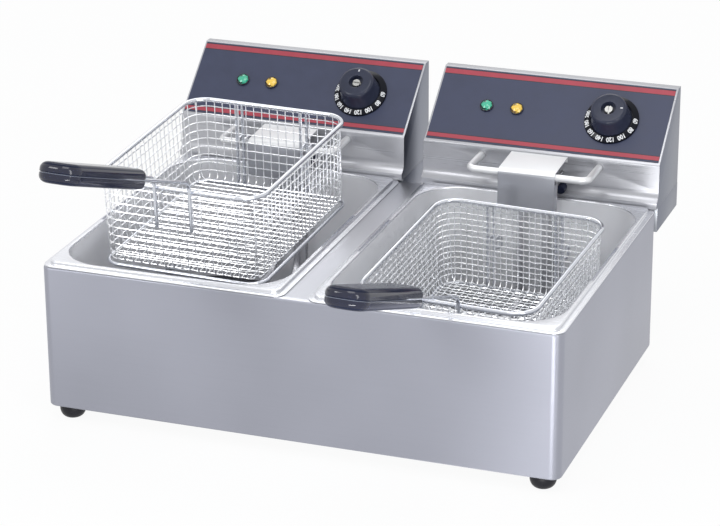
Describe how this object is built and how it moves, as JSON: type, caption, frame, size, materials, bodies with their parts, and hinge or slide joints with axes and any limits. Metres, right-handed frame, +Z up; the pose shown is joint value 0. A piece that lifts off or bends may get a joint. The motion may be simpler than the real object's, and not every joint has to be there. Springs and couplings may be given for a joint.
{
  "type": "twin-tank deep fryer",
  "caption": "Countertop deep fryer in brushed steel with two lift-out oil tanks, two tilted control heads, and wire baskets with black grips.",
  "frame": {"origin": "on the standing surface, in the middle of the whole object's bounding box", "axes": "+X to the right seen from the front, +Y to the rear, +Z up"},
  "size_m": [0.5616, 0.6874, 0.3541],
  "materials": {
    "brushed_steel": "brushed, satin",
    "bright_wire": "polished",
    "black_bakelite": "glossy",
    "black_rubber": "matt",
    "label_film": "satin film",
    "green_lens": "clear coloured",
    "amber_lens": "clear coloured",
    "pale_ceramic": "matt"
  },
  "bodies": {
    "casing_body": {"casing": "brushed_steel", "base_plate": "brushed_steel", "foot_front_left": "black_rubber", "foot_front_right": "black_rubber", "foot_rear_left": "black_rubber", "foot_rear_right": "black_rubber"},
    "left_tank_body": {"left_tank": "brushed_steel"},
    "left_head": {"left_head_shell": "brushed_steel", "left_head_back_cover": "brushed_steel", "left_cutout_body": "black_bakelite", "left_terminal_block": "pale_ceramic", "left_hanging_rail": "bright_wire", "left_element_cover": "brushed_steel", "left_heating_element": "bright_wire", "left_basket_rest_front": "brushed_steel", "left_basket_rest_rear": "brushed_steel", "left_sensor_bulb": "bright_wire", "left_cable_gland": "black_bakelite", "left_control_label": "label_film", "left_power_lamp": "green_lens", "left_heating_lamp": "amber_lens", "left_dial_ring": "black_bakelite", "left_thermostat_body": "pale_ceramic"},
    "left_knob": {"left_thermostat_knob": "black_bakelite", "left_thermostat_spindle": "bright_wire"},
    "left_button": {"left_reset_button": "black_bakelite"},
    "left_basket": {"left_basket_frame": "bright_wire", "left_basket_mesh": "bright_wire", "left_handle_wire": "bright_wire", "left_grip_upper": "black_bakelite", "left_grip_lower": "black_bakelite", "left_grip_screw": "bright_wire"},
    "right_tank_body": {"right_tank": "brushed_steel"},
    "right_head": {"right_head_shell": "brushed_steel", "right_head_back_cover": "brushed_steel", "right_cutout_body": "black_bakelite", "right_terminal_block": "pale_ceramic", "right_hanging_rail": "bright_wire", "right_element_cover": "brushed_steel", "right_heating_element": "bright_wire", "right_basket_rest_front": "brushed_steel", "right_basket_rest_rear": "brushed_steel", "right_sensor_bulb": "bright_wire", "right_cable_gland": "black_bakelite", "right_control_label": "label_film", "right_power_lamp": "green_lens", "right_heating_lamp": "amber_lens", "right_dial_ring": "black_bakelite", "right_thermostat_body": "pale_ceramic"},
    "right_knob": {"right_thermostat_knob": "black_bakelite", "right_thermostat_spindle": "bright_wire"},
    "right_button": {"right_reset_button": "black_bakelite"},
    "right_basket": {"right_basket_frame": "bright_wire", "right_basket_mesh": "bright_wire", "right_handle_wire": "bright_wire", "right_grip_upper": "black_bakelite", "right_grip_lower": "black_bakelite", "right_grip_screw": "bright_wire"}
  },
  "joints": [
    {"name": "left_tank_lift", "type": "slide", "parent": "casing_body", "child": "left_tank_body", "axis": [0, 0, 1], "range_m": [0, 0.16]},
    {"name": "left_head_lift", "type": "slide", "parent": "left_tank_body", "child": "left_head", "axis": [0, 0, 1], "range_m": [0, 0.16]},
    {"name": "left_knob_turn", "type": "hinge", "parent": "left_head", "child": "left_knob", "pos_m": [-0.07615, 0.27026, 0.25446], "axis": [0, 0.6428, -0.766], "range_deg": [0, 280]},
    {"name": "left_reset_press", "type": "slide", "parent": "left_head", "child": "left_button", "axis": [0, 1, 0], "range_m": [0, 0.0025], "stiffness_N_per_m": 300, "springref_m": -0.001},
    {"name": "left_basket_lift", "type": "slide", "parent": "left_head", "child": "left_basket", "axis": [0, 0, 1], "range_m": [0, 0.2]},
    {"name": "right_tank_lift", "type": "slide", "parent": "casing_body", "child": "right_tank_body", "axis": [0, 0, 1], "range_m": [0, 0.16]},
    {"name": "right_head_lift", "type": "slide", "parent": "right_tank_body", "child": "right_head", "axis": [0, 0, 1], "range_m": [0, 0.16]},
    {"name": "right_knob_turn", "type": "hinge", "parent": "right_head", "child": "right_knob", "pos_m": [0.21615, 0.27026, 0.25446], "axis": [0, 0.6428, -0.766], "range_deg": [-84, 196]},
    {"name": "right_reset_press", "type": "slide", "parent": "right_head", "child": "right_button", "axis": [0, 1, 0], "range_m": [0, 0.0025], "stiffness_N_per_m": 300, "springref_m": -0.001},
    {"name": "right_basket_lift", "type": "slide", "parent": "right_head", "child": "right_basket", "axis": [0, 0, 1], "range_m": [0, 0.25]}
  ]
}
